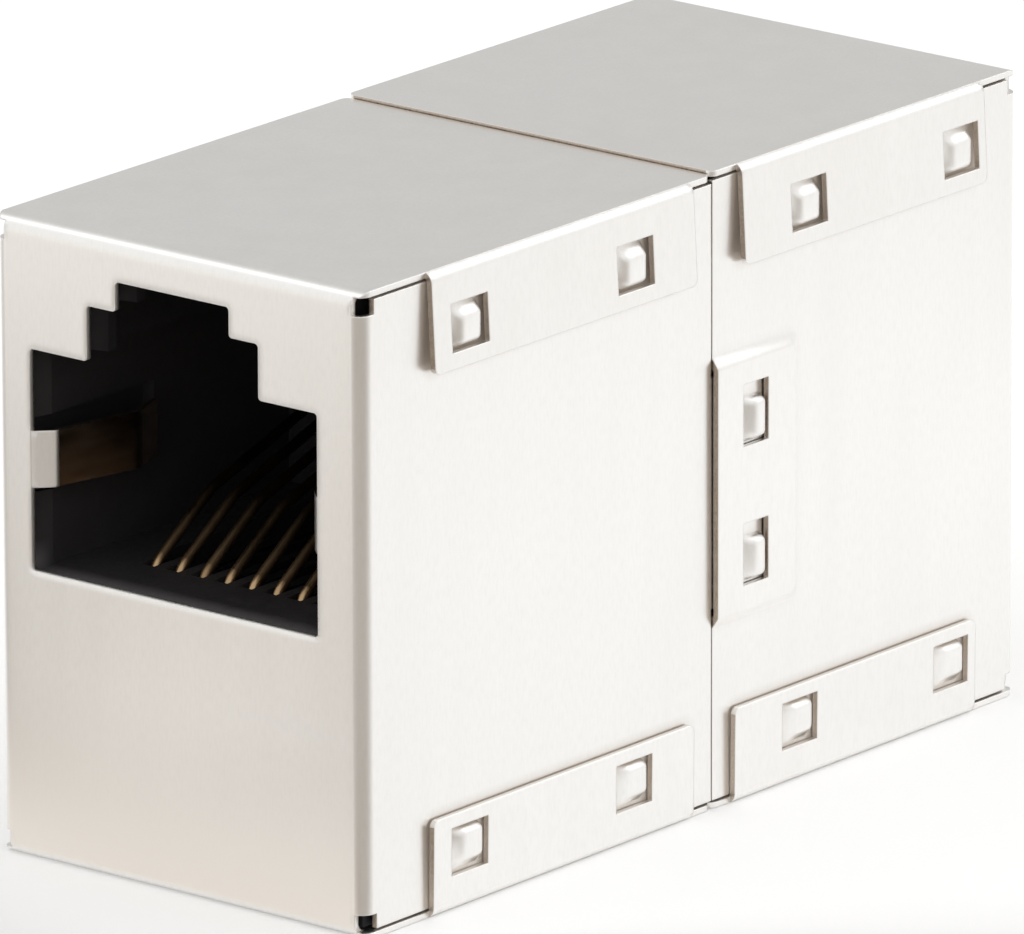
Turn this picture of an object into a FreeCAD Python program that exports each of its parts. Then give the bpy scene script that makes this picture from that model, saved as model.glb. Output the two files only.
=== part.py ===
import FreeCAD, Part
import math
import os
from FreeCAD import Vector

# A shielded modular coupler: two eight-contact ports back to back on one small
# circuit board, inside two folded metal shells that snap together at a seam.
# Millimetres, +Z up. The origin is in the middle of the underside, the front
# port faces -Y and the latch slots are at the top.
#
# Each half is drawn from its own end: there y = 0 is the outer face of that
# end, +y runs in towards the seam and x is to the right of someone facing it.

# ---- shells -------------------------------------------------------------
sheet = 0.2                   # thickness of the shell metal
body_width = 15.2             # over the side walls
body_height = 21.4            # over the front shell's top and bottom
body_length = 34.0            # from one port face to the other
seam_offset = 0.75            # the seam lies this far behind the middle
seam_gap = 0.05               # air between the two shells
rear_rise = 0.1               # the rear shell stands this much taller
bend_radius = 0.5             # outside radius of every fold of a shell
edge_gap = 0.1                # slit between a side wall and the plate above it
relief_width = 0.42           # notch at each face corner, across the face
relief_depth = 0.62           # the same notch, back along the side
relief_height = 0.6           # the same notch, down the corner
seam_corner_radius = 0.3      # plan radius of a plate's corners at the seam

# ---- side flanges, folded over the side walls -----------------------------
flange_gap = 0.03             # air between a flange's root and the side wall
flange_bend_radius = 0.35     # outside radius of the fold
top_flange_splay = 3.0        # degrees that a flange stands off the wall
bottom_flange_splay = 0.6
flange_corner_radius = 0.25   # free corners of a flange
flange_root = 1.2             # plate in from the side wall that carries the fold
top_flange_height = 3.35
bottom_flange_height = 3.25
front_flange_start = 3.2      # from the front face
front_flange_margin = 1.2     # end of the flange to the seam end of its shell
rear_flange_start = 2.2       # from the rear face
rear_flange_margin = 1.25
rear_bottom_shift = 0.35      # the rear shell's lower flanges sit this much nearer the seam

# ---- windows in the flanges and the bumps that catch them -----------------
window_length = 1.85
window_height = 1.62
window_drop = 2.0             # window centre to the outer face of the flange's plate
front_window_insets = (1.82, 3.1)  # window centres from the two ends of the flange
rear_window_insets = (1.33, 3.4)
bump_length = 1.62
bump_height = 1.55
bump_rise = 0.46              # how far a bump stands off the side wall
bump_ramp = 0.5               # inset of a bump's crown on its ramped side
bump_lead = 0.46              # the same towards the plate, where the flange slides on
bump_slope = 0.14             # the same on its other sides
bump_round = 0.24             # radius of a bump's edges
bump_shift = 0.1              # bumps sit this much to the ramped side of their windows

# ---- tongue of the front shell under the pad of the rear shell ------------
pad_length = 4.4
pad_height = 9.1
pad_clearance = 0.05          # air between a tongue and its pad
pad_slope = 0.34              # run of the pad's sloped edges
pad_corner_radius = 0.45      # the pad's two corners away from the seam
pad_round = 0.2               # radius along the pad's crown
pad_inner_inset = 0.12        # inner slope against outer slope
tongue_length = 3.9
tongue_height = 7.8
catch_window_length = 1.3
catch_window_height = 2.1
catch_window_place = 2.0      # window centre from the seam
catch_window_spacing = 4.7    # between the two windows of a pad
catch_length = 1.15
catch_height = 1.55
catch_drop = 0.2              # catch centre below its window's centre
catch_rise = 0.45

# ---- port opening ---------------------------------------------------------
port_shift = -0.2             # port against the middle of its end
port_width = 11.9
port_bottom = 9.75            # height of the opening's lower edge
port_height = 7.4             # lower edge to the shoulders
latch_slot_width = 7.1
latch_slot_height = 9.25      # from the port's lower edge
key_slot_width = 4.7
key_slot_height = 10.25       # from the port's lower edge
port_corner_radius = 0.13     # corners of the opening in the metal

# ---- ground springs, folded into the port from its side edges --------------
spring_height = 1.9
spring_centre = 3.7           # above the port's lower edge
spring_root = 0.3             # tab inside the face sheet
spring_lead = (0.5, 0.62)     # first leg: in from the port's edge, back from the face
spring_touch = (1.2, 3.9)     # where the spring stands furthest into the port
spring_tip = (0.75, 5.3)      # its end, turned back out
spring_lead_radius = 0.35
spring_touch_radius = 0.8

# ---- circuit board and the tray under it -----------------------------------
tray_wall = 0.8
tray_floor = 0.8
tray_side_clearance = 0.2     # tray to shell, on every side
board_bottom = 4.2
board_thickness = 1.6
board_side_clearance = 0.4    # board to shell, on every side

# ---- jack housings ----------------------------------------------------------
housing_width = 14.0
housing_back_gap = 0.9        # back of each housing to the coupler's middle
housing_top_clearance = 0.15
housing_face_clearance = 0.05  # housing to the inside of the shell's face
housing_front_wall = 1.3
opening_margin = 0.06         # the housing's port is this much larger all round
mouth_flare = 0.25            # lead-in at the housing's mouth
mouth_flare_depth = 0.9
cavity_depth = 13.0           # port face to the back of the plug space
sill_depth = 2.9              # port face to the edge of the floor before the contacts
latch_pocket_width = 8.6
latch_pocket_height = 10.55   # from the port's lower edge
spring_slot_depth = 0.45
spring_slot_margin = 0.3
spring_slot_end = 6.2
insert_bay_width = 10.4
peg_diameter = 1.2
peg_length = 1.4
peg_across = 5.85             # peg centre from the port's centre line
peg_back = 8.0                # peg centre from the port face
peg_clearance = 0.1

# ---- contact inserts ----------------------------------------------------------
insert_clearance = 0.1
insert_back_gap = 0.2         # back of the insert to the back of the housing
insert_nose = 5.0             # front of the insert, from the port face
insert_cover = 0.35           # plastic above the contacts' level run
comb_tooth_end = 4.3
comb_tooth_height = 1.1
slot_clearance = 0.12         # each side of a contact in its slot

# ---- contacts -----------------------------------------------------------------
contact_count = 8
contact_pitch = 1.016
contact_diameter = 0.35
contact_run = 8.0             # height of the level run along the insert
contact_nose = 3.2            # front of the fold, from the port face
contact_fold_radius = 1.0
contact_rise_angle = 34.0     # degrees, just behind the fold
contact_rise_length = 3.0
contact_knee_radius = 2.0
contact_flat_angle = 18.0     # degrees, behind the knee
contact_flat_length = 5.6
contact_heel_radius = 0.5     # where the run turns down to the board
contact_pin_insets = (3.3, 1.3)  # odd and even pins, from the insert's back
contact_tail = 0.9            # below the board
contact_hole_clearance = 0.15

# ---- worked out ------------------------------------------------------------------
half_width = body_width / 2
board_top = board_bottom + board_thickness
pad_rise = sheet + pad_clearance
seam_from_front = body_length / 2 + seam_offset
front_shell_length = seam_from_front - seam_gap / 2
rear_shell_length = body_length - seam_from_front - seam_gap / 2
housing_back = body_length / 2 - housing_back_gap
insert_back = housing_back - insert_back_gap
insert_top = contact_run + contact_diameter / 2 + insert_cover
slot_width = contact_diameter + 2 * slot_clearance


# ---- drawing helpers -----------------------------------------------------------
def box(x0, x1, y0, y1, z0, z1):
    return Part.makeBox(x1 - x0, y1 - y0, z1 - z0, Vector(x0, y0, z0))


def mirrored(shape):
    """The same shape on the other side of the centre line."""
    return shape.mirror(Vector(0, 0, 0), Vector(1, 0, 0))


def both_sides(shape):
    return [shape, mirrored(shape)]


def prism(points, direction):
    return Part.Face(Part.makePolygon(points + points[:1])).extrude(direction)


def frustum(base, crown, x_base, x_crown):
    """A block standing out along +x. base and crown are (y0, y1, z0, z1)."""
    rings = []
    for x, (y0, y1, z0, z1) in ((x_base, base), (x_crown, crown)):
        corners = [Vector(x, y0, z0), Vector(x, y1, z0), Vector(x, y1, z1), Vector(x, y0, z1)]
        rings.append(Part.makePolygon(corners + corners[:1]))
    return Part.makeLoft(rings, True)


def rounded_path(points, radii):
    """Straight runs through points, with a tangent arc at each inner corner."""
    edges = []
    start = points[0]
    for before, corner, after, radius in zip(points, points[1:], points[2:], radii):
        inward = (before - corner).normalize()
        onward = (after - corner).normalize()
        half_angle = inward.getAngle(onward) / 2
        reach = radius / math.tan(half_angle)
        middle = corner + (inward + onward).normalize() * (radius / math.sin(half_angle) - radius)
        arc_start = corner + inward * reach
        arc_end = corner + onward * reach
        if (arc_start - start).Length > 1e-6:
            edges.append(Part.LineSegment(start, arc_start).toShape())
        edges.append(Part.Arc(arc_start, middle, arc_end).toShape())
        start = arc_end
    edges.append(Part.LineSegment(start, points[-1]).toShape())
    return edges


def beside(points, normal, distance):
    """The polyline moved sideways by a distance, with mitred corners."""
    runs = [(b - a).normalize() for a, b in zip(points, points[1:])]
    sides = [normal.cross(run) for run in runs]
    moved = [points[0] + sides[0] * distance]
    for corner, side, next_side in zip(points[1:], sides, sides[1:]):
        mitre = (side + next_side).normalize()
        moved.append(corner + mitre * (distance / mitre.dot(side)))
    moved.append(points[-1] + sides[-1] * distance)
    return moved


def bent_strip(points, radii, normal, width):
    """Sheet metal bent along a polyline, as wide as width along the normal.

    points and radii follow the middle of the sheet."""
    outlines = []
    for side in (1, -1):
        outline = beside(points, normal, side * sheet / 2)
        fitted = []
        for before, corner, after, radius in zip(points, points[1:], points[2:], radii):
            turn = (corner - before).cross(after - corner).dot(normal)
            fitted.append(radius - math.copysign(sheet / 2, turn) * side)
        outlines.append((outline, rounded_path(outline, fitted)))
    (left, left_edges), (right, right_edges) = outlines
    ends = [Part.LineSegment(left[0], right[0]).toShape(),
            Part.LineSegment(left[-1], right[-1]).toShape()]
    ring = Part.Wire(Part.__sortEdges__(left_edges + right_edges + ends))
    return Part.Face(ring).extrude(normal * width)


# ---- shells ---------------------------------------------------------------------
def rounded_block(width, length, height, radius, corner):
    """A box whose four edges round its y = corner.y face are rounded."""
    block = Part.makeBox(width, length, height, corner)
    front_edges = [e for e in block.Edges if e.BoundBox.YMax < corner.y + 1e-6]
    return block.makeFillet(radius, front_edges)


def folded_cup(length, height):
    """Face, top, bottom and side walls, before anything is cut out of them."""
    outside = rounded_block(body_width, length, height, bend_radius,
                            Vector(-half_width, 0, 0))
    inside = rounded_block(body_width - 2 * sheet, length, height - 2 * sheet,
                           bend_radius - sheet, Vector(-half_width + sheet, sheet, sheet))
    return outside.cut(inside)


def wall_slits(length, height):
    """The slits that part the side walls from the plates, and the corner notches."""
    past = half_width + 1
    cuts = []
    for low, high in ((height - sheet - edge_gap, height - sheet), (sheet, sheet + edge_gap)):
        cuts += both_sides(box(half_width - sheet - edge_gap, past, 0, length + 1, low, high))
    for low, high in ((height - sheet - relief_height, height - sheet),
                      (sheet, sheet + relief_height)):
        cuts += both_sides(box(half_width - relief_width, past, -1, relief_depth, low, high))
    return cuts


def seam_corners(length, height):
    """What is rounded off the plates' corners at the seam."""
    centre_x = half_width - seam_corner_radius
    centre_y = length - seam_corner_radius
    cuts = []
    for low in (height - sheet, 0):
        corner = box(centre_x, half_width + 1, centre_y, length + 1, low, low + sheet)
        round_bar = Part.makeCylinder(seam_corner_radius, sheet, Vector(centre_x, centre_y, low))
        cuts += both_sides(corner.cut(round_bar))
    return cuts


def hanging_flange(start, end, reach, splay):
    """The right flange of a plate whose outer face is at z = 0, hanging below it."""
    middle = -sheet / 2
    root_x = half_width + flange_gap + sheet / 2
    lean = math.tan(math.radians(splay))
    points = [Vector(half_width - flange_root, start, middle),
              Vector(root_x, start, middle),
              Vector(root_x + reach * lean, start, middle - reach)]
    strip = bent_strip(points, [flange_bend_radius - sheet / 2], Vector(0, 1, 0), end - start)
    outline = box(0, body_width, start, end, -reach, 0)
    free_corners = [e for e in outline.Edges
                    if e.BoundBox.ZMax < -reach + 1e-6 and e.BoundBox.YLength < 1e-6]
    return strip.common(outline.makeFillet(flange_corner_radius, free_corners))


def flange_windows(places):
    """Cutters for the windows of a hanging flange. They stop short of the wall."""
    return [box(half_width + flange_gap / 2, body_width,
                place - window_length / 2, place + window_length / 2,
                -window_drop - window_height / 2, -window_drop + window_height / 2)
            for place in places]


def pressed_bump(place, centre, length, height, rise, ramp_side, lead_side):
    """The outside of a bump on the right side wall, and the hollow behind it.

    ramp_side is -1 for a ramp towards the port's face, 1 for one towards the seam.
    lead_side is 1 for a long slope above, -1 for one below, 0 for neither."""
    near, far = (bump_ramp, bump_slope) if ramp_side < 0 else (bump_slope, bump_ramp)
    above = bump_lead if lead_side > 0 else bump_slope
    below = bump_lead if lead_side < 0 else bump_slope

    def block(base_x, inset):
        base = (place - length / 2 + inset, place + length / 2 - inset,
                centre - height / 2 + inset, centre + height / 2 - inset)
        crown = (base[0] + near, base[1] - far, base[2] + below, base[3] - above)
        return frustum(base, crown, base_x, base_x + rise)

    solid = block(half_width - sheet / 2, 0)
    outer_edges = [e for e in solid.Edges if e.BoundBox.XMax > half_width]
    hollow = block(half_width - sheet * 1.5, sheet / 2)
    return solid.makeFillet(bump_round, outer_edges), hollow


def port_outline(y, margin):
    """The stepped port, as corners at a depth y, with a margin all round."""
    half = port_width / 2 + margin
    latch = latch_slot_width / 2 + margin
    key = key_slot_width / 2 + margin
    low = port_bottom - margin
    shoulder = port_bottom + port_height + margin
    latch_top = port_bottom + latch_slot_height + margin
    key_top = port_bottom + key_slot_height + margin
    right = [(half, low), (half, shoulder), (latch, shoulder), (latch, latch_top),
             (key, latch_top), (key, key_top)]
    ring = right + [(-x, z) for x, z in reversed(right)]
    return [Vector(x + port_shift, y, z) for x, z in ring]


def port_cutter(y0, y1, margin):
    return prism(port_outline(y0, margin), Vector(0, y1 - y0, 0))


def ground_spring():
    """A strip folded in from the port's right edge that touches a plug's side."""
    edge = port_width / 2
    middle = sheet / 2
    path = [(edge + spring_root, middle), (edge, middle),
            (edge - spring_lead[0], spring_lead[1]),
            (edge - spring_touch[0], spring_touch[1]),
            (edge - spring_tip[0], spring_tip[1])]
    low = port_bottom + spring_centre - spring_height / 2
    points = [Vector(x, y, low) for x, y in path]
    radii = [spring_lead_radius, spring_lead_radius, spring_touch_radius]
    return bent_strip(points, radii, Vector(0, 0, 1), spring_height)


def flanges_and_bumps(start, end, window_insets, height, is_top, ramp_side):
    """The two flanges of one plate, with the bumps that they catch on."""
    centre = height - window_drop if is_top else window_drop
    places = (start + window_insets[0], end - window_insets[1])
    reach = top_flange_height if is_top else bottom_flange_height
    splay = top_flange_splay if is_top else bottom_flange_splay
    flange = hanging_flange(start, end, reach, splay)
    flange = flange.cut(flange_windows(places))
    if is_top:
        flange.translate(Vector(0, 0, height))
    else:
        flange = flange.mirror(Vector(0, 0, 0), Vector(0, 0, 1))
    parts, hollows = both_sides(flange), []
    for place in places:
        solid, hollow = pressed_bump(place + ramp_side * bump_shift, centre,
                                     bump_length, bump_height, bump_rise, ramp_side,
                                     1 if is_top else -1)
        parts += both_sides(solid)
        hollows += both_sides(hollow)
    return parts, hollows


def shield(length, height, flange_start, flange_margin, bottom_shift, window_insets, ramp_side):
    """One shell, before its tongues or pads. All its bumps ramp to one side."""
    shell = folded_cup(length, height).cut(wall_slits(length, height) + seam_corners(length, height))
    opening = port_cutter(-1, sheet + 1, 0)
    corners = [e for e in opening.Edges if e.BoundBox.YLength > sheet]
    shell = shell.cut(opening.makeFillet(port_corner_radius, corners))
    springs = [spring.translated(Vector(port_shift, 0, 0)) for spring in both_sides(ground_spring())]
    parts, hollows = list(springs), []
    for is_top, shift in ((True, 0), (False, bottom_shift)):
        more_parts, more_hollows = flanges_and_bumps(
            flange_start + shift, length - flange_margin + shift, window_insets, height,
            is_top, ramp_side)
        parts += more_parts
        hollows += more_hollows
    return shell.fuse(parts).cut(hollows).removeSplitter()


def catch_heights():
    middle = body_height / 2
    return (middle - catch_window_spacing / 2, middle + catch_window_spacing / 2)


def front_shield():
    """The shell around the front port, with a tongue on each side wall."""
    shell = shield(front_shell_length, body_height, front_flange_start,
                   front_flange_margin, 0, front_window_insets, -1)
    low = (body_height - tongue_height) / 2
    tip = front_shell_length + tongue_length
    tongue = box(half_width - sheet, half_width, front_shell_length - sheet, tip,
                 low, low + tongue_height)
    parts, hollows = both_sides(tongue), []
    for height in catch_heights():
        place = seam_from_front + catch_window_place
        solid, hollow = pressed_bump(place, height - catch_drop, catch_length,
                                     catch_height, catch_rise, -1, 0)
        parts += both_sides(solid)
        hollows += both_sides(hollow)
    return shell.fuse(parts).cut(hollows).removeSplitter()


def rear_shield():
    """The shell around the rear port, with a raised pad over each tongue."""
    length = rear_shell_length
    shell = shield(length, body_height + rear_rise, rear_flange_start,
                   rear_flange_margin, rear_bottom_shift, rear_window_insets, 1)
    low = (body_height - pad_height) / 2
    start = length - pad_length

    def block(inset, shift, end):
        base = (start + inset, end, low + inset, low + pad_height - inset)
        crown = (base[0] + pad_slope, end, base[2] + pad_slope, base[3] - pad_slope)
        return frustum(base, crown, half_width + shift, half_width + pad_rise + shift)

    pad = block(0, 0, length)
    corners = [e for e in pad.Edges if e.BoundBox.XLength > pad_rise / 2
               and e.BoundBox.YMax < length - 1e-6]
    pad = pad.makeFillet(pad_corner_radius, corners)
    crown_edges = [e for e in pad.Edges if e.BoundBox.XMax > half_width + pad_rise - 1e-6
                   and e.BoundBox.YMin < length - 1e-6]
    pad = pad.makeFillet(pad_round, crown_edges)
    hollow = block(pad_inner_inset, -sheet, length + seam_gap)
    windows = []
    for height in catch_heights():
        place = length + seam_gap / 2 - catch_window_place
        windows.append(box(half_width, body_width,
                           place - catch_window_length / 2, place + catch_window_length / 2,
                           height - catch_window_height / 2, height + catch_window_height / 2))
    cuts = [cut for shape in [hollow] + windows for cut in both_sides(shape)]
    return shell.fuse(both_sides(pad)).cut(cuts).removeSplitter()


# ---- board and tray ---------------------------------------------------------------
def insulating_tray():
    """An open plastic tray that keeps the solder tails off the shells."""
    half_x = half_width - sheet - tray_side_clearance
    half_y = body_length / 2 - sheet - tray_side_clearance
    low = sheet + tray_side_clearance / 2
    tray = box(-half_x, half_x, -half_y, half_y, low, board_bottom)
    well = box(-half_x + tray_wall, half_x - tray_wall, -half_y + tray_wall,
               half_y - tray_wall, low + tray_floor, board_top)
    return tray.cut(well)


def pin_places():
    """Where the contacts of one port go down through the board, from its own end."""
    return [(contact_x(number), insert_back - contact_pin_insets[number % 2])
            for number in range(contact_count)]


def contact_x(number):
    return (number - (contact_count - 1) / 2) * contact_pitch + port_shift


def circuit_board():
    """The board that joins the two ports, drilled for their contacts and pegs."""
    half_x = half_width - sheet - board_side_clearance
    half_y = body_length / 2 - sheet - board_side_clearance
    board = box(-half_x, half_x, -half_y, half_y, board_bottom, board_top)
    hole_radius = contact_diameter / 2 + contact_hole_clearance
    peg_radius = peg_diameter / 2 + peg_clearance
    drills = []
    for to_end in (at_front, at_rear):
        for x, y in pin_places():
            drills.append(to_end(upright_pin(x, y, hole_radius)))
        for side in (-1, 1):
            drills.append(to_end(upright_pin(side * peg_across + port_shift, peg_back, peg_radius)))
    return board.cut(drills)


def upright_pin(x, y, radius):
    """A round bar right through the board."""
    foot = Vector(x, y, board_bottom - board_thickness / 2)
    return Part.makeCylinder(radius, board_thickness * 2, foot)


# ---- jacks --------------------------------------------------------------------------
def jack_housing():
    """The plastic body of one port, standing on the board."""
    half = housing_width / 2
    front = sheet + housing_face_clearance
    top = body_height - sheet - housing_top_clearance
    body = box(port_shift - half, port_shift + half, front, housing_back, board_top, top)
    body = body.cut(port_hollows(front) + insert_bay(front) + spring_slots(front))
    pegs = [Part.makeCylinder(peg_diameter / 2, peg_length + sheet,
                              Vector(side * peg_across + port_shift, peg_back, board_top - peg_length))
            for side in (-1, 1)]
    return body.fuse(pegs + comb_teeth()).removeSplitter()


def port_hollows(front):
    """The plug space, its flared mouth and the pocket behind the latch stops."""
    wide = port_outline(front, opening_margin + mouth_flare)
    narrow = port_outline(front + mouth_flare_depth, opening_margin)
    mouth = Part.makeLoft([Part.makePolygon(ring + ring[:1]) for ring in (wide, narrow)], True)
    throat = port_cutter(front, front + housing_front_wall, opening_margin)
    half = port_width / 2 + opening_margin
    plug_top = port_bottom + port_height + opening_margin
    plug_space = box(port_shift - half, port_shift + half, front, cavity_depth,
                     port_bottom - opening_margin, plug_top)
    pocket = box(port_shift - latch_pocket_width / 2, port_shift + latch_pocket_width / 2,
                 front + housing_front_wall, cavity_depth,
                 plug_top - opening_margin, port_bottom + latch_pocket_height)
    return [mouth, throat, plug_space, pocket]


def insert_bay(front):
    """Room for the contact insert, open at the back and underneath, and the
    slot in the floor that the contacts rise through."""
    half = insert_bay_width / 2
    bay = box(port_shift - half, port_shift + half, sill_depth, housing_back + 1,
              board_top - 1, insert_top + insert_clearance)
    reach = contact_pitch * contact_count / 2
    floor_slot = box(port_shift - reach, port_shift + reach, sill_depth, cavity_depth,
                     board_top, port_bottom + 1)
    return [bay, floor_slot]


def spring_slots(front):
    """Grooves in the side walls of the port that the ground springs flex into."""
    half = port_width / 2 + opening_margin
    centre = port_bottom + spring_centre
    reach = spring_height / 2 + spring_slot_margin
    slots = []
    for side in (-1, 1):
        edges = sorted((port_shift + side * (half - 1), port_shift + side * (half + spring_slot_depth)))
        slots.append(box(edges[0], edges[1], front - 1, spring_slot_end, centre - reach, centre + reach))
    return slots


def comb_teeth():
    """Teeth behind the sill that keep the contacts apart at their folds."""
    half = (contact_pitch - slot_width) / 2
    teeth = []
    for number in range(contact_count + 1):
        x = contact_x(number) - contact_pitch / 2
        high = port_bottom - opening_margin
        teeth.append(box(x - half, x + half, sill_depth - sheet, comb_tooth_end,
                         high - comb_tooth_height, high))
    return teeth


def contact_insert():
    """The plastic carrier that holds the level runs and pins of eight contacts."""
    half = insert_bay_width / 2 - insert_clearance
    block = box(port_shift - half, port_shift + half, insert_nose, insert_back,
                board_top, insert_top)
    cuts = []
    for x, y in pin_places():
        left, right = x - slot_width / 2, x + slot_width / 2
        floor = contact_run - slot_width / 2
        back = y + slot_width / 2
        cuts.append(box(left, right, insert_nose - 1, back, floor, insert_top + 1))
        cuts.append(box(left, right, y - contact_heel_radius - slot_width / 2, back,
                        board_top - 1, insert_top + 1))
    return block.cut(cuts)


def contact(number):
    """A round spring wire: up from the board, forward, round its fold and back
    up into the port."""
    x, pin = pin_places()[number]
    steep = math.radians(contact_rise_angle)
    flat = math.radians(contact_flat_angle)
    fold_y = contact_nose + contact_fold_radius
    corner_y = fold_y - contact_fold_radius / math.tan(steep / 2)
    leave = Vector(x, fold_y - contact_fold_radius * math.sin(steep),
                   contact_run + contact_fold_radius * (1 + math.cos(steep)))
    knee = leave + Vector(0, math.cos(steep), math.sin(steep)) * contact_rise_length
    tip = knee + Vector(0, math.cos(flat), math.sin(flat)) * contact_flat_length
    points = [Vector(x, pin, board_bottom - contact_tail), Vector(x, pin, contact_run),
              Vector(x, corner_y, contact_run), knee, tip]
    radii = [contact_heel_radius, contact_fold_radius, contact_knee_radius]
    path = Part.Wire(rounded_path(points, radii))
    section = Part.Wire(Part.makeCircle(contact_diameter / 2, points[0], Vector(0, 0, 1)))
    return path.makePipeShell([section], True, False)


# ---- the two ends ---------------------------------------------------------------------
def at_front(shape):
    return shape.translated(Vector(0, -body_length / 2, 0))


def at_rear(shape):
    return at_front(shape).rotated(Vector(0, 0, 0), Vector(0, 0, 1), 180)


def main():
    nodes = {
        "front_shield": at_front(front_shield()),
        "rear_shield": at_rear(rear_shield()),
        "insulating_tray": insulating_tray(),
        "circuit_board": circuit_board(),
    }
    for end, to_end in (("front", at_front), ("rear", at_rear)):
        nodes[end + "_jack_housing"] = to_end(jack_housing())
        nodes[end + "_contact_insert"] = to_end(contact_insert())
        for number in range(contact_count):
            nodes["%s_contact_%d" % (end, number + 1)] = to_end(contact(number))

    os.makedirs("parts", exist_ok=True)
    for name, shape in nodes.items():
        shape.exportStep("parts/%s.step" % name)
        print(name, len(shape.Solids), shape.isValid(), round(shape.Volume, 3))


main()
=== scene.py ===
import math
import bpy
from mathutils import Matrix, Vector


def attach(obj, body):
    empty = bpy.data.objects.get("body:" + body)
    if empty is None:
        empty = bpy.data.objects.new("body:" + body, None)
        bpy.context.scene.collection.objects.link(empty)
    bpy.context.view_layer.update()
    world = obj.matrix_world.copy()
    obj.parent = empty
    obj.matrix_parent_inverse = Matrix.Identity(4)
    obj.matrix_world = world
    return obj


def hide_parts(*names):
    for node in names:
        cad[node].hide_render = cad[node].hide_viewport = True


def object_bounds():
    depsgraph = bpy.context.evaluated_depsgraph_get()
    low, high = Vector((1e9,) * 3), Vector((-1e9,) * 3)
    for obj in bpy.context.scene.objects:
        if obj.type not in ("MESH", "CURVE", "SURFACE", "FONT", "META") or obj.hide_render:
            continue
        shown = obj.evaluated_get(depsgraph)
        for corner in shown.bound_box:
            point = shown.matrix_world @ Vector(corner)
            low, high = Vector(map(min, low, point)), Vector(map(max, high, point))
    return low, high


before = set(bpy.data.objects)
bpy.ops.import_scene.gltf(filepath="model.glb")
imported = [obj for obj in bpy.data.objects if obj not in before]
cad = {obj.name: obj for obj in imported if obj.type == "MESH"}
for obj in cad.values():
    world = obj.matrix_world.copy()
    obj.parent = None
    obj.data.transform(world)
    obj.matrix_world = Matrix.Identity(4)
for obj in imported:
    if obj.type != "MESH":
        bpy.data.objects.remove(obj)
solid_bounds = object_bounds()


# ---- Insulating tray -------------------------------------------------------
# A shallow open box, moulded in matt black nylon. It lies loose in the bottom
# of the shells and keeps the board's solder tails off the metal.
class Finish:
    """One material: a principled shader, and what drives its sockets."""

    def __init__(self, name):
        self.material = bpy.data.materials.new(name)
        self.material.use_nodes = True
        self.nodes = self.material.node_tree.nodes
        self.links = self.material.node_tree.links
        self.shader = self.nodes["Principled BSDF"]
        self.place = self.nodes.new("ShaderNodeTexCoord").outputs["Object"]
        self.normal = None

    def add(self, kind, inputs, **settings):
        """A node with its inputs set to numbers or linked to other sockets."""
        node = self.nodes.new(kind)
        for key, value in settings.items():
            setattr(node, key, value)
        for key, value in inputs.items():
            if isinstance(value, bpy.types.NodeSocket):
                self.links.new(value, node.inputs[key])
            else:
                node.inputs[key].default_value = value
        return node

    def noise(self, grain, detail=3.0, stretch=(1, 1, 1)):
        """Noise from 0 to 1, with a grain in metres, drawn out by stretch."""
        mapped = self.add("ShaderNodeMapping", {"Vector": self.place, "Scale": stretch})
        node = self.add("ShaderNodeTexNoise", {"Vector": mapped.outputs["Vector"],
                                               "Scale": 1 / grain, "Detail": detail})
        return node.outputs["Fac"]

    def span(self, value, low, high, start=0.35, end=0.65):
        """value, taken from start..end to low..high."""
        node = self.add("ShaderNodeMapRange", {"Value": value, "From Min": start, "From Max": end,
                                               "To Min": low, "To Max": high})
        return node.outputs["Result"]

    def times(self, first, second):
        """The product of two values."""
        return self.add("ShaderNodeMath", {0: first, 1: second}, operation="MULTIPLY").outputs[0]

    def part(self, vector, axis):
        """One coordinate of a vector, X, Y or Z."""
        return self.add("ShaderNodeSeparateXYZ", {"Vector": vector}).outputs[axis]

    def unsigned(self, value):
        """value without its sign."""
        return self.add("ShaderNodeMath", {0: value}, operation="ABSOLUTE").outputs[0]

    def mix(self, factor, first, second):
        """first turning into second as factor goes from 0 to 1."""
        node = self.add("ShaderNodeMix", {"Factor": factor}, data_type="RGBA")
        for socket, value in ((node.inputs["A"], first), (node.inputs["B"], second)):
            if isinstance(value, bpy.types.NodeSocket):
                self.links.new(value, socket)
            else:
                socket.default_value = (*value, 1)
        return node.outputs["Result"]

    def colour(self, value):
        self.links.new(value, self.shader.inputs["Base Color"])

    def roughness(self, value):
        self.links.new(value, self.shader.inputs["Roughness"])

    def relief(self, *heights):
        """Bumps laid over each other: pairs of a height from 0 to 1 and its depth in metres."""
        for height, depth in heights:
            inputs = {"Height": height, "Distance": depth}
            if self.normal:
                inputs["Normal"] = self.normal
            self.normal = self.add("ShaderNodeBump", inputs).outputs["Normal"]
        self.links.new(self.normal, self.shader.inputs["Normal"])


def dress(name, finish):
    """Gives a solid its finish."""
    mesh = cad[name].data
    mesh.materials.clear()
    mesh.materials.append(finish.material)


nylon = Finish("matt_nylon")
nylon.colour(nylon.mix(nylon.span(nylon.noise(0.0009), 0, 1),
                       (0.018, 0.018, 0.020), (0.028, 0.028, 0.031)))
nylon.roughness(nylon.span(nylon.noise(0.0004), 0.52, 0.70))
nylon.relief((nylon.noise(0.00012), 0.000004), (nylon.noise(0.003), 0.00001))
dress("insulating_tray", nylon)


# ---- Circuit board ---------------------------------------------------------
# Glass-fibre laminate under a green solder mask, milled to size, so that its
# edges show the bare tan laminate. It joins the two ports pin to pin.
WEAVE = 0.0005              # spacing of the glass yarns

laminate = Finish("board_laminate")


def yarns(direction):
    """The ridges of the yarns that lie side by side in a direction, X or Y."""
    node = laminate.add("ShaderNodeTexWave", {"Vector": laminate.place, "Scale": 1 / WEAVE / 2,
                                              "Distortion": 0.6, "Detail": 1.0},
                        bands_direction=direction)
    return node.outputs["Fac"]


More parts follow.
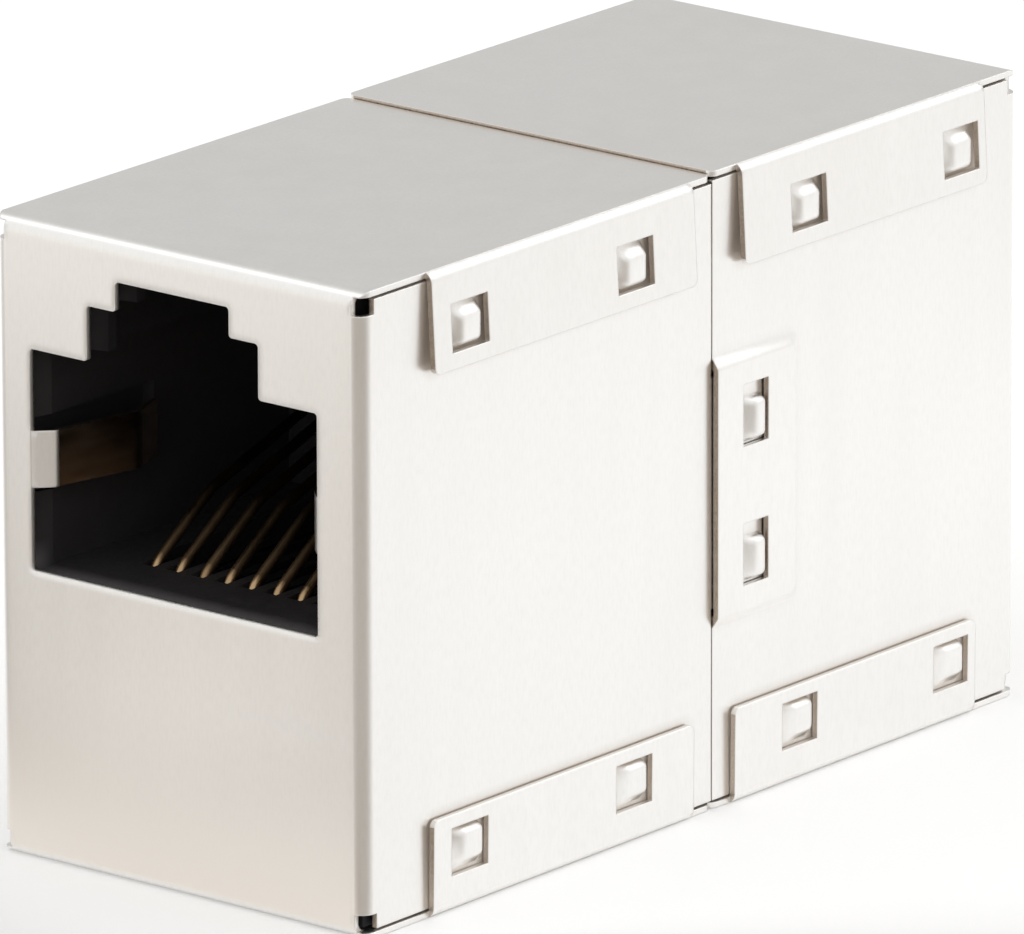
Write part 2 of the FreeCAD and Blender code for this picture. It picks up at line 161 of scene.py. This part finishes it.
facing = laminate.add("ShaderNodeTexCoord", {}).outputs["Normal"]
flat = laminate.unsigned(laminate.part(facing, "Z"))
mask = laminate.mix(laminate.span(laminate.noise(0.002), 0, 1),
                    (0.010, 0.075, 0.032), (0.016, 0.110, 0.050))
milled = laminate.mix(laminate.span(laminate.noise(0.0003), 0, 1),
                      (0.30, 0.27, 0.14), (0.42, 0.38, 0.22))
laminate.colour(laminate.mix(laminate.span(flat, 0, 1), milled, mask))
laminate.roughness(laminate.span(laminate.noise(0.0006), 0.28, 0.42))
laminate.relief((yarns("X"), 0.000004), (yarns("Y"), 0.000004))
dress("circuit_board", laminate)


# ---- Contact inserts -------------------------------------------------------
# Moulded combs of black polyester that hold the eight wires of each port in
# line. The moulding is plain and slightly glossy where it left the tool.
polyester = Finish("black_polyester")
polyester.colour(polyester.mix(polyester.span(polyester.noise(0.0012), 0, 1),
                               (0.016, 0.016, 0.017), (0.024, 0.024, 0.025)))
polyester.roughness(polyester.span(polyester.noise(0.0007), 0.34, 0.46))
polyester.relief((polyester.noise(0.00015), 0.000003))
for end in ("front", "rear"):
    dress(end + "_contact_insert", polyester)


# ---- Contacts --------------------------------------------------------------
# Drawn phosphor-bronze spring wire with a thin plating of gold. The drawing
# leaves fine lines along it and plugs leave dull rub marks. Above the low front
# ends, where the wires leave the sill, the wires are painted near-black, painted shade.
SHADE_START_HEIGHT = 0.0102       # height up to which the wires keep their own colour
SHADE_FULL_HEIGHT = 0.0122         # height from which they are painted near-black, painted shade

gold = Finish("gold_plating")
drawn = gold.noise(0.00006, stretch=(1, 0.06, 0.06))
rubbed = gold.span(gold.noise(0.0011), 0, 1)
gold.shader.inputs["Metallic"].default_value = 1.0
tone = gold.mix(rubbed, (0.46, 0.32, 0.18), (0.34, 0.23, 0.13))
# Painted shade: the wires turn near-black as they rise into the port.
painted_wire_shade = gold.span(gold.part(gold.place, "Z"), 0, 1, SHADE_START_HEIGHT, SHADE_FULL_HEIGHT)
gold.colour(gold.mix(painted_wire_shade, tone, (0.095, 0.062, 0.04)))
gold.roughness(gold.span(rubbed, 0.28, 0.42, 0, 1))
gold.relief((drawn, 0.0000015))
for end in ("front", "rear"):
    for number in range(1, 9):
        dress("%s_contact_%d" % (end, number), gold)


# ---- Jack housings ---------------------------------------------------------
# The moulded body of each port, in black glass-filled polyester. The tool was
# spark-eroded, which leaves a fine even texture with a soft sheen. The lip below
# each port is painted grey, a painted sheen.
SHEEN_DEPTHS = (0.0159, 0.0168)      # distances from the middle between which the painted sheen grows
SHEEN_HEIGHTS = (0.0099, 0.0106)     # heights between which it fades

housing = Finish("textured_black")
flow = housing.span(housing.noise(0.004, stretch=(1, 0.35, 1)), 0, 1)
tone = housing.mix(flow, (0.026, 0.024, 0.025), (0.036, 0.033, 0.034))
sheen_at_lip = housing.span(housing.unsigned(housing.part(housing.place, "Y")), 0, 1, *SHEEN_DEPTHS)
sheen_at_sill = housing.span(housing.part(housing.place, "Z"), 1, 0, *SHEEN_HEIGHTS)
# Painted sheen: the lip below each port is painted a lighter grey.
housing.colour(housing.mix(housing.times(sheen_at_lip, sheen_at_sill), tone, (0.20, 0.19, 0.19)))
housing.roughness(housing.span(housing.noise(0.0005), 0.34, 0.50))
housing.relief((housing.noise(0.00009), 0.000003), (housing.noise(0.002), 0.000008))
for end in ("front", "rear"):
    dress(end + "_jack_housing", housing)


# ---- Shells ----------------------------------------------------------------
# Two cups of thin spring steel, blanked, folded and nickel-plated. Each keeps
# the fine grain of the rolled sheet. The blanked edges are slightly rounded and
# brown, and so is the metal deep in the slits, where the plating is thin.
SHEET = 0.0002              # thickness of the metal
FACE = solid_bounds[1][1]   # distance of each port face from the middle
WALL = 0.0076               # distance of the side walls from the middle
EDGE_ROUND = 0.00008        # rounding of the blanked edges
PRESSED_ROUND = 0.00025     # rounding of the pressed bumps and pads
RIM_ROUND = 0.00035         # reach of the soft rounding at the ports' rims
SPRING_TAB = 0.0008         # the part of a ground spring that shows in the face
PORT_REACH = 0.0062         # no port reaches further than this to the side
PORT_HEIGHTS = (0.0062, 0.0211)     # the middles of a port's edges lie between these
SPRING_HEIGHTS = (0.0110, 0.0150)   # and those of its ground springs between these
PRESSED_SIZE = 0.0022       # no flat of a bump is longer than this
SLIT = 0.0004               # metal that faces other metal nearer than this turns brown
FACE_SHADE_TOP = 0.0065            # height up to which the port faces are painted darker and warmer, painted shade


class Metal(Finish):
    """A metal with rounded edges that turns dull and brown in its slits, with painted shade at the feet
    of its steps.
    """

    def __init__(self, name, rounding):
        super().__init__(name)
        self.normal = self.add("ShaderNodeBevel", {"Radius": rounding}, samples=4).outputs["Normal"]
        flat = self.add("ShaderNodeNewGeometry", {}).outputs["Normal"]
        match = self.add("ShaderNodeVectorMath", {0: self.normal, 1: flat}, operation="DOT_PRODUCT")
        self.edge = self.span(match.outputs["Value"], 1, 0, 0.80, 0.98)
        open_sky = self.add("ShaderNodeAmbientOcclusion", {"Distance": SLIT}, samples=3,
                            only_local=True).outputs["AO"]
        self.shelter = self.span(open_sky, 1, 0, 0.15, 0.55)
        # Painted shade: partly sheltered metal at the feet of steps is painted darker, in place of soft
        # contact shadow.
        self.painted_step_shade = self.span(open_sky, 0.4, 0, 0.60, 0.97)

    def metal(self, colour, worn, roughness):
        """Sets the colour on the flat and on worn edges, with painted shade at the feet of steps, and
        the roughness.
        """
        colour = self.mix(self.painted_step_shade, self.mix(self.edge, colour, worn), (0.60, 0.55, 0.50))
        self.colour(self.mix(self.shelter, colour, (0.78, 0.70, 0.62)))
        self.links.new(self.span(self.shelter, 1, 0.15, 0, 1), self.shader.inputs["Metallic"])
        self.roughness(roughness)


def plate(name, rounding):
    """Nickel plating over the rolled sheet."""
    finish = Metal(name, rounding)
    clouds = finish.span(finish.noise(0.005, 2.0), 0, 1, 0.25, 0.75)
    streaks = finish.noise(0.0013, 2.0, (1, 1, 0.10))
    grain = finish.noise(0.00010, 2.0, (1, 1, 0.25))
    tone = finish.mix(clouds, (0.920, 0.902, 0.877), (0.940, 0.929, 0.912))
    tone = finish.mix(finish.span(streaks, 0, 0.8, 0.3, 0.7), tone, (0.955, 0.940, 0.918))
    tone = finish.mix(finish.span(grain, 0.5, 0, 0.25, 0.60), tone, (0.87, 0.855, 0.83))
    # Painted shade: the port faces are painted darker and warmer towards the bottom.
    on_face = finish.span(finish.unsigned(finish.part(finish.normal, "Y")), 0, 1, 0.8, 1.0)
    painted_face_shade = finish.span(finish.part(finish.place, "Z"), 0.9, 0, FACE_SHADE_TOP * 0.2, FACE_SHADE_TOP)
    tone = finish.mix(finish.times(on_face, painted_face_shade), tone, (0.86, 0.80, 0.73))
    finish.metal(tone, (0.94, 0.925, 0.90), finish.span(streaks, 0.278, 0.32, 0.3, 0.7))
    finish.relief((grain, 0.0000010), (streaks, 0.0000015))
    return finish


plating = plate("nickel_plating", EDGE_ROUND)
pressed = plate("pressed_plating", PRESSED_ROUND)
rim = plate("port_rim_plating", RIM_ROUND)

sheared = Metal("sheared_edge", EDGE_ROUND)
torn = sheared.noise(0.00008, 4.0)
sheared.metal(sheared.mix(sheared.span(torn, 0, 1), (0.44, 0.365, 0.30), (0.58, 0.50, 0.425)),
              (0.72, 0.65, 0.57), sheared.span(torn, 0.34, 0.50))
sheared.relief((torn, 0.000003))

spring = Metal("spring_plating", EDGE_ROUND)
rubs = spring.noise(0.0003, 3.0, (1, 0.1, 1))
spring.metal(spring.mix(spring.span(rubs, 0, 1), (0.52, 0.41, 0.33), (0.64, 0.52, 0.43)),
             (0.70, 0.60, 0.50), spring.span(rubs, 0.16, 0.26))
spring.relief((rubs, 0.000001))

PLATED, PRESSED, RIM, SHEARED, SPRING = range(5)


def edge_kind(normal, low, high):
    """Which finish a face of a shell has, from where it lies and faces."""
    middle = (low + high) / 2
    size = high - low
    if abs(middle.y) < FACE - 2 * SHEET and abs(normal.y) > 0.995:
        return SHEARED
    in_port = abs(middle.x) < PORT_REACH
    at_spring = SPRING_HEIGHTS[0] < middle.z < SPRING_HEIGHTS[1]
    at_port = PORT_HEIGHTS[0] < middle.z < PORT_HEIGHTS[1]
    if in_port and at_spring and abs(middle.y) < FACE - SPRING_TAB:
        return SPRING
    if in_port and at_port and abs(middle.y) > FACE - 1.1 * SHEET:
        return RIM
    is_slope = 0.1 < abs(normal.x) < 0.97
    is_small = size.y < PRESSED_SIZE and size.z < PRESSED_SIZE and abs(normal.x) > 0.1
    if abs(middle.x) > WALL and (is_slope or is_small):
        return PRESSED
    return PLATED


def folded_sheet(solid, name):
    """A shell with joined-up faces and its finishes."""
    bpy.ops.object.select_all(action="DESELECT")
    shell = bpy.data.objects.new(name, cad[solid].data.copy())
    bpy.context.scene.collection.objects.link(shell)
    shell.select_set(True)
    bpy.context.view_layer.objects.active = shell
    bpy.ops.mesh.customdata_custom_splitnormals_clear()
    bpy.ops.object.mode_set(mode="EDIT")
    bpy.ops.mesh.select_all(action="SELECT")
    bpy.ops.mesh.remove_doubles(threshold=0.000001)
    bpy.ops.mesh.dissolve_limited(angle_limit=math.radians(0.5))
    bpy.ops.object.mode_set(mode="OBJECT")
    shell.data.materials.clear()
    for finish in (plating, pressed, rim, sheared, spring):
        shell.data.materials.append(finish.material)
    for face in shell.data.polygons:
        corners = [shell.data.vertices[i].co for i in face.vertices]
        low = Vector(min(c[axis] for c in corners) for axis in range(3))
        high = Vector(max(c[axis] for c in corners) for axis in range(3))
        face.material_index = edge_kind(face.normal, low, high)
    bpy.ops.object.shade_smooth_by_angle(angle=math.radians(30))
    shell.modifiers.new("flat faces", "WEIGHTED_NORMAL").keep_sharp = True
    bpy.ops.object.modifier_apply(modifier="flat faces")
    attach(shell, "root")
    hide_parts(solid)


folded_sheet("front_shield", "front_shell")
folded_sheet("rear_shield", "rear_shell")


# ---- Studio floor ----------------------------------------------------------
# A sweep of white paper that the coupler stands on. In front of the coupler and off to
# its side it is painted in warm greys, painted shade; from below it's clear, so that the base can be
# seen.
SWEEP_SIZE = 4.0
AIR = 0.00002               # gap that keeps the paper clear of the base
PALE_PATCH = (-0.015, -0.030, 0)    # middle of a paler patch in the grey
PATCH_EDGE = (0.014, 0.002)         # distances from there between which it fades in
GLOW = 0.15                 # light that the paper adds to the view and to reflections

bpy.ops.object.select_all(action="DESELECT")
bpy.ops.mesh.primitive_plane_add(size=SWEEP_SIZE, location=(0, 0, -AIR))
sweep = bpy.context.object
sweep.name = "paper_sweep"
paper = Finish("white_paper")
paper.nodes.remove(paper.shader)


def fade(value, start, end):
    """0 to 1 as a value goes from start to end, with soft ends."""
    node = paper.add("ShaderNodeMapRange", {"Value": value, "From Min": start, "From Max": end},
                     interpolation_type="SMOOTHSTEP")
    return node.outputs["Result"]


def reach(point, direction, by_angle=False):
    """How far the floor lies from a point in a direction, or how nearly that way."""
    offset = paper.add("ShaderNodeVectorMath", {0: paper.place, 1: point}, operation="SUBTRACT")
    if by_angle:
        offset = paper.add("ShaderNodeVectorMath", {0: offset.outputs[0]}, operation="NORMALIZE")
    node = paper.add("ShaderNodeVectorMath", {0: offset.outputs[0], 1: direction},
                     operation="DOT_PRODUCT")
    return node.outputs["Value"]


right_corner = (WALL, -FACE, 0)
left_corner = (-WALL, -FACE, 0)
foot = (0, -FACE, 0)
towards_front = fade(reach(foot, (-0.2, -0.98, 0)), 0.0025, 0.016)
left_edge = fade(reach(left_corner, (-0.77, 0.635, 0)), -0.0065, 0.0045)
left_of_face = paper.times(left_edge, towards_front)
far_side = fade(reach((WALL, 0, 0), (0.635, 0.772, 0)), 0.050, 0.085)
far_front = fade(reach(foot, (-0.5, -0.87, 0)), 0.055, 0.075)
right_of_face = fade(reach(right_corner, (0.94, -0.35, 0), True), -0.62, 0.55)
before_side = fade(reach(right_corner, (0.6, -0.8, 0), True), -0.35, 0.85)
shade = paper.times(right_of_face, before_side)
# Painted shade: greys painted on the floor in front of the coupler and off to its side, for the metal
# to reflect.
patches = paper.span(paper.noise(0.030, 1.0), 0, 1)
tint = paper.mix(patches, (0.63, 0.595, 0.565), (0.72, 0.685, 0.650))
beside = paper.add("ShaderNodeVectorMath", {0: paper.place, 1: PALE_PATCH}, operation="DISTANCE")
tint = paper.mix(fade(beside.outputs["Value"], *PATCH_EDGE), tint, (0.80, 0.755, 0.72))
tint = paper.mix(towards_front, (0.93, 0.93, 0.93), tint)
tint = paper.mix(left_of_face, tint, (0.48, 0.455, 0.425))
tint = paper.mix(far_side, tint, (0.85, 0.845, 0.835))
tint = paper.mix(far_front, tint, (0.93, 0.91, 0.88))
tint = paper.mix(shade, tint, (0.40, 0.37, 0.335))
rays = paper.add("ShaderNodeLightPath", {})
seen = paper.add("ShaderNodeMath", {0: rays.outputs["Is Camera Ray"], 1: rays.outputs["Is Glossy Ray"]},
                 operation="MAXIMUM")
seen = paper.add("ShaderNodeMath", {0: seen.outputs[0], 1: rays.outputs["Is Transmission Ray"]},
                 operation="MAXIMUM")
lift = paper.times(seen.outputs[0], GLOW)
matt = paper.add("ShaderNodeBsdfDiffuse", {"Color": tint})
glow = paper.add("ShaderNodeEmission", {"Color": tint, "Strength": lift})
lit = paper.add("ShaderNodeAddShader", {0: matt.outputs[0], 1: glow.outputs[0]})
side = paper.add("ShaderNodeNewGeometry", {})
clear = paper.add("ShaderNodeBsdfTransparent", {})
surface = paper.add("ShaderNodeMixShader", {0: side.outputs["Backfacing"], 1: lit.outputs[0],
                                            2: clear.outputs[0]})
paper.links.new(surface.outputs[0], paper.nodes["Material Output"].inputs["Surface"])
paper.material.cycles.emission_sampling = "NONE"
sweep.data.materials.append(paper.material)


# ---- Studio light ----------------------------------------------------------
# A pale room with one dim corner, behind on the left. A soft box hangs overhead,
# a little to the back, and a weaker one on the left in front.
DIM_CORNER = (-0.61, 0.74, 0.29)    # direction of the dim corner of the room

world = bpy.data.worlds.new("pale_room")
bpy.context.scene.world = world
world.use_nodes = True
room = world.node_tree
towards = room.nodes.new("ShaderNodeVectorMath")
towards.operation = "DOT_PRODUCT"
towards.inputs[1].default_value = DIM_CORNER
brightness = room.nodes.new("ShaderNodeValToRGB")
brightness.color_ramp.interpolation = "EASE"
brightness.color_ramp.elements[0].position = 0.50
brightness.color_ramp.elements[0].color = (0.94, 0.94, 0.935, 1)
brightness.color_ramp.elements[1].position = 0.86
brightness.color_ramp.elements[1].color = (0.610, 0.608, 0.602, 1)
room.links.new(room.nodes.new("ShaderNodeTexCoord").outputs["Generated"], towards.inputs[0])
room.links.new(towards.outputs["Value"], brightness.inputs["Fac"])
room.links.new(brightness.outputs["Color"], room.nodes["Background"].inputs["Color"])


def soft_box(name, place, size, power):
    """A square lamp that faces the coupler."""
    lamp = bpy.data.lights.new(name, "AREA")
    lamp.size = size
    lamp.energy = power
    holder = bpy.data.objects.new(name, lamp)
    bpy.context.scene.collection.objects.link(holder)
    holder.location = place
    holder.rotation_euler = (-Vector(place)).to_track_quat("-Z", "Y").to_euler()


soft_box("overhead_box", (0.30, 0.60, 0.76), 0.6, 1.4)
soft_box("front_box", (-0.55, -0.20, 0.70), 0.3, 0.15)


# ---- Camera ----------------------------------------------------------------
# A long lens at table height, to the right of the front port and a little above.
AZIMUTH = math.radians(39.013)
ELEVATION = math.radians(16.555)
ROLL = math.radians(-0.160)
DISTANCE = 0.600
AIM_HEIGHT = 0.0107         # half the height of the case
AIM_LEFT = 0.000073
AIM_DOWN = 0.000309

back = Vector((math.sin(AZIMUTH) * math.cos(ELEVATION), -math.cos(AZIMUTH) * math.cos(ELEVATION),
               math.sin(ELEVATION)))
level = Vector((math.cos(AZIMUTH), math.sin(AZIMUTH), 0))
aim = Vector((0, 0, AIM_HEIGHT)) - level * AIM_LEFT - back.cross(level) * AIM_DOWN
right = Matrix.Rotation(ROLL, 3, back) @ level
lens = bpy.data.cameras.new("long_lens")
lens.lens = 648.4
lens.sensor_width = 36.0
lens.clip_start = 0.01
lens.clip_end = 10.0
camera = bpy.data.objects.new("camera", lens)
bpy.context.scene.collection.objects.link(camera)
camera.location = aim + back * DISTANCE
camera.rotation_euler = Matrix((right, back.cross(right), back)).transposed().to_euler()
bpy.context.scene.camera = camera
bpy.context.scene.view_settings.view_transform = "Standard"
